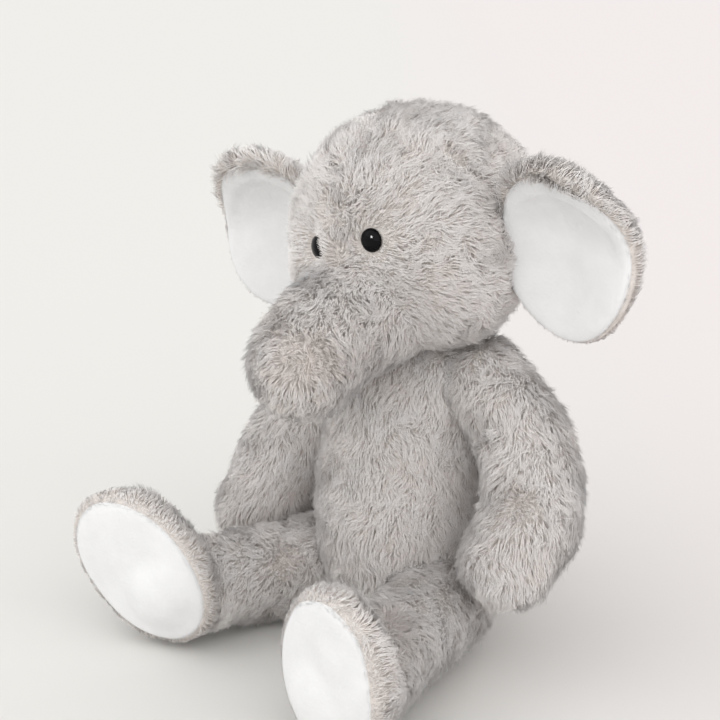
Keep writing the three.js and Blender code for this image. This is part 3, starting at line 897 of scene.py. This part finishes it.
# ---- arms
# At each elbow whorl the pile opens and its tips are painted darker, as painted shade.
ELBOW_WHORL = {"left": (38, -26, -36), "right": (36, -24, -42)}
for key, side in SIDES.items():
    low, high = node_room(f"arm_{key}_cover", 8)
    skin = puffed(formed(f"arm_{key}_skin", arm_field(key), low - (0, 0, 6), high, 2.2, SKIN), 1.5)
    flow = toward(ARM[key], (side * 0.25, -0.25, -1))
    pile = grow(f"arm_{key}_pile", skin, flow, whorls=[(ARM[key].out(ELBOW_WHORL[key]), 9)])
    start = ARM[key].out((-side * 6, 0, 4)) * METRE
    end = ARM[key].out((side * 12, 0, -14)) * METRE
    for piece in (skin, *pile):
        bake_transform(piece)
    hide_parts(f"arm_{key}_cover")
    filling(f"arm_{key}_stuffing", ("torso", f"arm_{key}", start, end), arm_field(key))


# ---- pads: soles and linings
def pad(name, place, half, field, face, front, back, material, side=1, rings=16, spokes=72):
    """A closed oval pad laid on a form.

    It starts on a face given as depths at (x, z), and its two sides lie at heights above the form
    that are given at (x, z, r), where r is 1 at the rim.
    """
    reach = np.sin(np.linspace(0, math.pi / 2, rings + 1))[1:]
    spin = np.linspace(0, 2 * math.pi, spokes, endpoint=False)
    x = np.append(0, np.outer(reach, np.cos(spin)).ravel())
    z = np.append(0, np.outer(reach, np.sin(spin)).ravel())
    r = np.hypot(x, z)
    flat = place.out(np.stack([side * x * half[0], face(x, z), z * half[1]], 1))
    points = np.vstack([settle(field, flat, height(x, z, r), rounds=5) for height in (front, back)])
    other = len(flat)
    faces = []

    def at(base, ring, s):
        return base + 1 + ring * spokes + s % spokes

    for s in range(spokes):
        faces.append((0, at(0, 0, s), at(0, 0, s + 1)))
        faces.append((other, at(other, 0, s + 1), at(other, 0, s)))
        for n in range(rings - 1):
            a, b, c, d = at(0, n, s), at(0, n, s + 1), at(0, n + 1, s + 1), at(0, n + 1, s)
            faces += [(a, d, c), (a, c, b)]
            a, b, c, d = (v + other for v in (a, b, c, d))
            faces += [(a, c, d), (a, b, c)]
        a, b = at(0, rings - 1, s), at(0, rings - 1, s + 1)
        faces += [(a, a + other, b + other), (a, b + other, b)]
    faces = np.array(faces)
    return make_mesh(name, points, faces if side > 0 else faces[:, ::-1], material)


# ---- legs and soles
SOLE_HALF = (26.3, 35.3)
SOLE_CROWN = 1.5
SOLE_DIMPLE = 0.35
PAD_SUNK = 1.1


def sole_face(x, z):
    return np.full(len(x), SOLE_BED)


def sole_front(x, z, r):
    dimples = SOLE_DIMPLE * waves(np.stack([x * 26, z * 34, 0 * r], 1), 13, 71)
    return SOLE_CROWN * np.sqrt(np.maximum(1 - r**4, 0)) - 0.5 * r**6 + dimples * (1 - r**4)


def pad_back(x, z, r):
    return np.full(len(x), -PAD_SUNK)


def leg_flow(key):
    def flow(p, n):
        f = FOOT[key].into(p)
        on_foot = np.clip((20 - f[:, 1]) / 10, 0, 1)[:, None]
        backward = (unit(f * (1, 0, 1)) * 0.1 + (0, 1, 0)) @ FOOT[key].matrix.T
        along = LEG[key].matrix @ np.array([0, -1.0, 0])
        return on_foot * backward + (1 - on_foot) * (0.8 * along + np.array([0, 0, -0.7]))

    return flow


def near_sole(key):
    """How long the pile is, shorter where it meets the sole."""

    def reach(p):
        return np.clip(0.22 + (FOOT[key].into(p)[:, 1] - 2) / 12, 0.22, 1)

    return reach


def sole_reach(f):
    """How far out on a sole a point in the foot's frame is, 1 at its rim."""
    return np.hypot(f[:, 0] / SOLE_HALF[0], f[:, 2] / SOLE_HALF[1])


def off_sole(key):
    def keep(p):
        f = FOOT[key].into(p)
        return (sole_reach(f) > 0.97) | (f[:, 1] > 6)

    return keep


def sole_edge(key):
    def keep(p):
        return sole_reach(FOOT[key].into(p)) > 0.94

    return keep


# At these whorls the pile opens and its tips are painted darker, as painted shade.
THIGH_WHORL = {"left": (4, -50, 19), "right": (16, -30, 11)}
RIM_WHORL = (21, 13, 14)  # on a foot's outer edge
for key, side in SIDES.items():
    low, high = node_room(f"leg_{key}_cover", 6)
    form = leg_field(key)
    skin = puffed(formed(f"leg_{key}_skin", form, low, high, 2.2, SKIN), 1.0)
    whorls = [(LEG[key].out(THIGH_WHORL[key]), 8), (FOOT[key].out(RIM_WHORL), 7)]
    flow, keep, reach = leg_flow(key), off_sole(key), near_sole(key)
    pile = grow(f"leg_{key}_pile", skin, flow, keep=keep, reach=reach, whorls=whorls)
    outward = LEG[key].matrix @ np.array([0, -1.0, 0])
    start = (LEG[key].origin - 4 * outward) * METRE
    end = (LEG[key].origin + 22 * outward) * METRE
    for piece in (skin, *pile):
        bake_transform(piece)
    sole = pad(f"sole_{key}_velour", FOOT[key], SOLE_HALF, form, sole_face, sole_front, pad_back, VELOUR)
    nap = grow_nap(f"sole_{key}_nap", sole, sole_edge(key), (0.2, 0, -0.4))
    for piece in (sole, nap):
        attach(piece, f"leg_{key}")
    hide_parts(f"leg_{key}_cover")
    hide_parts(f"sole_{key}")
    filling(f"leg_{key}_stuffing", ("torso", f"leg_{key}", start, end), form)


# ---- ears
LINING_MIDDLE = (0.0, -0.065)
LINING_HALF = np.array([0.985, 0.945])  # shares of the ear's own half sizes


def lining_face(x, z):
    """Where the front of the ear's sheet is, in the lining's frame."""
    across = LINING_MIDDLE[0] + x * LINING_HALF[0]
    up = LINING_MIDDLE[1] + z * LINING_HALF[1]
    return (EAR_DEPTH - EAR_THICK) * ear_steep(across, up) - ear_forward(across, up)


def lining_front(x, z, r):
    crown = 1.5 * np.sqrt(np.maximum(1 - r**6, 0)) - 0.3 * r**8
    crown += 1.4 * np.exp(-(((r - 0.86) / 0.07) ** 2)) * np.clip(z + 0.2, 0, 1)
    folds = 0.7 * waves(np.stack([x * 30, z * 34, 0 * r], 1), 16, 81)
    return crown + folds * (1 - r**4)


def lining_reach(across, up):
    return np.hypot((across - LINING_MIDDLE[0]) / LINING_HALF[0], (up - LINING_MIDDLE[1]) / LINING_HALF[1])


def ear_keep(key):
    def keep(p):
        across, up, depth = ear_sheet(key, p)
        rolled = depth > EAR_DEPTH - 5 * np.clip(0.5 + up, 0, 1)
        return (rolled & (lining_reach(across, up) > 0.985)) | (depth > EAR_DEPTH)

    return keep


def lining_edge(key):
    def keep(p):
        across, up, depth = ear_sheet(key, p)
        return (lining_reach(across, up) > 0.95) & (depth < EAR_DEPTH)

    return keep


def ear_reach(key):
    def reach(p):
        _, up, _ = ear_sheet(key, p)
        return np.clip(0.6 + 0.4 * up, 0.3, 1.0)

    return reach


def ear_flow(key):
    def flow(p, n):
        _, up, _ = ear_sheet(key, p)
        q = EAR[key].into(p) * (1, 0, 1) - (SIDES[key] * 8, 0, 0)
        back = np.clip(0.9 - up, 0.3, 1.8)[:, None]
        return unit(q) @ EAR[key].matrix.T + back * np.array([0, 1.0, 0])

    return flow


def wadding_field(key):
    def field(p):
        across, up, depth = ear_sheet(key, p)
        return cut((np.hypot(across, up) - 0.8) * EAR_HALF[0], np.abs(depth - EAR_DEPTH) - 1.1, 1) * 0.9

    return field


for key, side in SIDES.items():
    low, high = node_room(f"ear_{key}_back", 6)
    low = low - (0, 14, 0)
    form = ear_field(key)
    skin = formed(f"ear_{key}_skin", form, low, high, 2.0, SKIN)
    pile = grow(f"ear_{key}_pile", skin, ear_flow(key), keep=ear_keep(key), reach=ear_reach(key))
    across, up = np.array(LINING_MIDDLE) * EAR_HALF + (EAR_MIDDLE, EAR_LEVEL)
    place = EAR[key].child((side * across, 0, up))
    half = LINING_HALF * EAR_HALF
    lining = pad(f"ear_{key}_velour", place, half, form, lining_face, lining_front, pad_back, VELOUR, side)
    nap = grow_nap(f"ear_{key}_nap", lining, lining_edge(key), (side * 0.4, -0.2, -0.3))
    wadding = formed(f"ear_{key}_sheet", wadding_field(key), low, high, 1.6, WADDING)
    for piece in (skin, *pile, lining, nap, wadding):
        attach(piece, f"ear_{key}")
    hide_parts(f"ear_{key}_back")
    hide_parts(f"ear_{key}_lining")
    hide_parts(f"ear_{key}_wadding")


# ---- tail
TUFT_MIDDLE = (0, 31, -17.5)


def tuft_field(p):
    return blob(TAIL.into(p), TUFT_MIDDLE, (3.2, 4.6, 3.6))


low, high = node_room("tail_cover", 6)
skin = formed("tail_skin", tail_field, low, high, 1.0, SKIN)
pile = grow("tail_pile", skin, toward(TAIL, (0, 0.8, -0.6)), length=5)
tuft = formed("tuft_core", tuft_field, *node_room("tail_tuft", 3), 0.9, SKIN)
tuft_pile = grow("tuft_pile", tuft, toward(TAIL, (0, 0.7, -0.9)), length=7.5, density=5)
for piece in (skin, *pile, tuft, *tuft_pile):
    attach(piece, "tail")
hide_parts("tail_cover")
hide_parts("tail_tuft")


# ---- eyes
def lathe(name, place, profile, material, spokes=48):
    """A turned form from (radius, height) pairs, the first and last on the axis, closed."""
    spin = np.linspace(0, 2 * math.pi, spokes, endpoint=False)
    rings = []
    for r, h in profile[1:-1]:
        rings.append(np.stack([r * np.cos(spin), r * np.sin(spin), np.full(spokes, h)], 1))
    points = np.vstack([[[0, 0, profile[0][1]]], *rings, [[0, 0, profile[-1][1]]]])
    last = len(points) - 1
    faces = []
    for s in range(spokes):
        t = (s + 1) % spokes
        faces.append((0, 1 + t, 1 + s))
        for r in range(len(rings) - 1):
            a, b = 1 + r * spokes + s, 1 + r * spokes + t
            faces += [(a, b, b + spokes), (a, b + spokes, a + spokes)]
        faces.append((last, last - spokes + s, last - spokes + t))
    return make_mesh(name, place.out(points), faces, material)


def facing(direction):
    """A matrix whose third column is the direction."""
    z = unit(np.asarray(direction, float))
    x = unit(np.cross(UP, z))
    return np.stack([x, np.cross(z, x), z], 1)


EYE_RIM = 0.5  # height of the dome's straight edge
SHANK = [(0, -10), (1.2, -10), (1.6, -9), (1.6, -0.4)]
EYE_PROFILE = SHANK + [(EYE_RADIUS - 0.4, -0.4), (EYE_RADIUS, 0)]
for lift in np.linspace(0.04, 1.5, 18):
    EYE_PROFILE.append((EYE_RADIUS * math.cos(lift), EYE_RIM + (EYE_DOME - EYE_RIM) * math.sin(lift)))
EYE_PROFILE.append((0, EYE_DOME))

for key in SIDES:
    direction = eye_line(key, 1) - eye_line(key, 0)
    place = Place(eye_line(key, EYE_SEAT - EYE_SUNK), turn("z", -EYE_TWIST[key]) @ facing(direction))
    eye = lathe(f"eye_{key}_dome", place, EYE_PROFILE, GLOSS)
    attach(eye, "head")
    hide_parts(f"eye_{key}")
    for washer_slot in bpy.data.objects[f"eye_{key}_washer"].material_slots:
        washer_slot.material = WASHER


# ---- seams and label
def thread(path, radius, plies=2, twist=0.9, sides=6, closed=False):
    """Points and faces of a twisted thread along a path; twist is radians to a millimetre."""
    path = np.asarray(path, float)
    ahead = np.roll(path, -1, 0) - np.roll(path, 1, 0)
    if not closed:
        ahead[0], ahead[-1] = path[1] - path[0], path[-1] - path[-2]
    ahead = unit(ahead)
    side = unit(np.cross(ahead, UP + (0.01, 0.02, 0)))
    over = np.cross(ahead, side)
    length = np.append(0, np.cumsum(np.linalg.norm(np.diff(path, axis=0), axis=1)))
    whole_turns = 2 * math.pi * round(twist * length[-1] / (2 * math.pi)) / length[-1]
    points, faces, count = [], [], len(path)
    for ply in range(plies):
        base = ply * (count * sides + (0 if closed else 2))
        phase = whole_turns * length + 2 * math.pi * ply / plies
        line = path + 0.5 * radius * (np.cos(phase)[:, None] * side + np.sin(phase)[:, None] * over)
        spin = np.linspace(0, 2 * math.pi, sides, endpoint=False)
        ring = np.cos(spin)[None, :, None] * side[:, None] + np.sin(spin)[None, :, None] * over[:, None]
        points.append((line[:, None] + 0.55 * radius * ring).reshape(-1, 3))
        for n in range(count if closed else count - 1):
            m = (n + 1) % count
            for s in range(sides):
                t = (s + 1) % sides
                a, b = base + n * sides + s, base + n * sides + t
                c, d = base + m * sides + t, base + m * sides + s
                faces += [(a, c, b), (a, d, c)]
        if not closed:
            points.append(line[[0, -1]])
            start, end = base + count * sides, base + count * sides + 1
            for s in range(sides):
                t = (s + 1) % sides
                faces.append((start, base + s, base + t))
                faces.append((end, base + (count - 1) * sides + t, base + (count - 1) * sides + s))
    return np.vstack(points), np.array(faces)


def joined_mesh(name, parts, material):
    points, faces, base = [], [], 0
    for some, corners in parts:
        points.append(some)
        faces.append(corners + base)
        base += len(some)
    return make_mesh(name, np.vstack(points), np.vstack(faces), material)


THREAD_RADIUS = 0.7
NECK_RADIUS = 11
NECK_HEIGHT = 126.8
spin = np.linspace(0, 2 * math.pi, 120, endpoint=False)
loop = np.stack([NECK_RADIUS * np.cos(spin), NECK_RADIUS * np.sin(spin), 0 * spin + NECK_HEIGHT], 1)
neck_thread = joined_mesh("neck_thread", [thread(TORSO.out(loop), THREAD_RADIUS, closed=True)], THREAD)
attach(neck_thread, "neck")
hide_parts("neck_seam")

LADDER_LOW, LADDER_HIGH, LADDER_STEPS = 58, 98, 9


def on_back(levels, across):
    """Points on the torso's back at heights, at a distance to one side of its middle."""
    start = TORSO.out(np.stack([across, np.full(len(levels), 46.0), levels], 1))
    return settle(torso_field, start, 0.4, rounds=6)


def ladder_stitches():
    """Short threads that cross the closing seam, and one that runs along it."""
    levels = np.linspace(LADDER_LOW, LADDER_HIGH, 60)
    parts = [thread(on_back(levels, 0 * levels), THREAD_RADIUS)]
    for level in np.linspace(LADDER_LOW + 2, LADDER_HIGH - 2, LADDER_STEPS):
        across = np.linspace(-2.2, 2.2, 9)
        parts.append(thread(on_back(np.full(9, level), across), THREAD_RADIUS * 0.8))
    return joined_mesh("ladder_thread", parts, THREAD)


ladder = ladder_stitches()
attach(ladder, "torso")
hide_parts("back_seam")

LABEL_SIZE = (16, 22)
LABEL_THICK = 0.45


def blank_label():
    """A woven tape with nothing on it, sewn in at the back of the seat and curling outwards."""
    low, high = node_room("care_label", 0)
    place = Place((low + high) / 2, turn("z", 30) @ turn("x", 8))
    across = np.linspace(-0.5, 0.5, 9)
    up = np.linspace(-0.5, 0.5, 13)
    x, z = np.meshgrid(across, up, indexing="ij")
    bow = 0.5 * np.cos(math.pi * x) * (0.5 - z) + 0.2 * np.sin(5 * z)
    sides = []
    for face in (-0.5, 0.5):
        flat = np.stack([x * LABEL_SIZE[0], bow + face * LABEL_THICK, z * LABEL_SIZE[1]], -1)
        sides.append(place.out(flat.reshape(-1, 3)))
    rows, columns = x.shape
    number = np.arange(rows * columns).reshape(rows, columns)
    front = np.stack([number[:-1, :-1], number[1:, :-1], number[1:, 1:], number[:-1, 1:]], -1)
    front = front.reshape(-1, 4)
    edge = np.concatenate([number[:, 0], number[-1, 1:], number[-2::-1, -1], number[0, -2:0:-1]])
    rim = np.stack([edge, edge + number.size, np.roll(edge, -1) + number.size, np.roll(edge, -1)], 1)
    faces = np.vstack([front, front[:, ::-1] + number.size, rim])
    return make_mesh("label_tape", np.vstack(sides), faces, TAPE)


label = blank_label()
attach(label, "torso")
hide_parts("care_label")


# ---- floor, light, camera
VIEW_AZIMUTH = math.radians(42.4)
FLOOR_COOL = (0.728, 0.72, 0.697)
FLOOR_ROSY = (0.75, 0.705, 0.706)
FLOOR_SIDE = 80
FLOOR_DRIFT = 4.0  # the floor turns rosy over a quarter of a metre


def stage_floor():
    bpy.ops.mesh.primitive_plane_add(size=FLOOR_SIDE, location=(0, 0, 0))
    floor = bpy.context.object
    floor.name = "floor"
    material = finish("floor_pale", FLOOR_COOL, roughness=0.8)
    tree = material.node_tree
    place = tree.nodes.new("ShaderNodeTexCoord")
    mapping = tree.nodes.new("ShaderNodeMapping")
    mapping.inputs["Rotation"].default_value = (0, 0, -VIEW_AZIMUTH)
    mapping.inputs["Scale"].default_value = (FLOOR_DRIFT,) * 3
    gradient = tree.nodes.new("ShaderNodeTexGradient")
    ramp = tree.nodes.new("ShaderNodeValToRGB")
    ramp.color_ramp.elements[0].color = (*FLOOR_COOL, 1)
    ramp.color_ramp.elements[1].color = (*FLOOR_ROSY, 1)
    tree.links.new(place.outputs["Object"], mapping.inputs["Vector"])
    tree.links.new(mapping.outputs["Vector"], gradient.inputs["Vector"])
    tree.links.new(gradient.outputs["Fac"], ramp.inputs["Fac"])
    tree.links.new(ramp.outputs["Color"], tree.nodes["Principled BSDF"].inputs["Base Color"])
    floor.data.materials.append(material)


def light(name, kind, energy, place, target=(0, 0, 0)):
    """A light aimed from a place at a target. A sun only takes its direction from them."""
    data = bpy.data.lights.new(name, kind)
    data.energy = energy
    lamp = bpy.data.objects.new(name, data)
    bpy.context.scene.collection.objects.link(lamp)
    lamp.location = place
    lamp.rotation_euler = (Vector(target) - Vector(place)).to_track_quat("-Z", "Y").to_euler()
    return lamp


stage_floor()
light("key", "SUN", 0.55, (-0.7, -1.0, 1.3)).data.angle = math.radians(70)
light("front", "SUN", 1.0, (1.2, -0.85, 0.45)).data.angle = math.radians(90)
glint = light("glint", "AREA", 30.0, (-0.11, -1.5, 0.66), target=(0, 0, 0.17))
glint.data.size = 0.35
glint.visible_diffuse = False  # it is only for reflections, such as the bright spot in each eye
world = bpy.data.worlds.new("studio")
bpy.context.scene.world = world
world.use_nodes = True
background = world.node_tree.nodes["Background"]
background.inputs["Color"].default_value = (1, 0.995, 0.985, 1)
background.inputs["Strength"].default_value = 0.95
bpy.context.scene.view_settings.view_transform = "Standard"

VIEW_ELEVATION = math.radians(17.9)
VIEW_DISTANCE = 742
VIEW_TARGET = (-29.8, 0, 111.7)
VIEW_LENS = 85.2

toward_camera = np.array(
    [
        math.sin(VIEW_AZIMUTH) * math.cos(VIEW_ELEVATION),
        -math.cos(VIEW_AZIMUTH) * math.cos(VIEW_ELEVATION),
        math.sin(VIEW_ELEVATION),
    ]
)
camera_data = bpy.data.cameras.new("camera")
camera_data.lens = VIEW_LENS
camera_data.sensor_width = 36
camera = bpy.data.objects.new("camera", camera_data)
bpy.context.scene.collection.objects.link(camera)
camera.location = Vector((TORSO.out(VIEW_TARGET) + VIEW_DISTANCE * toward_camera) * METRE)
camera.rotation_euler = Vector(-toward_camera).to_track_quat("-Z", "Y").to_euler()
bpy.context.scene.camera = camera
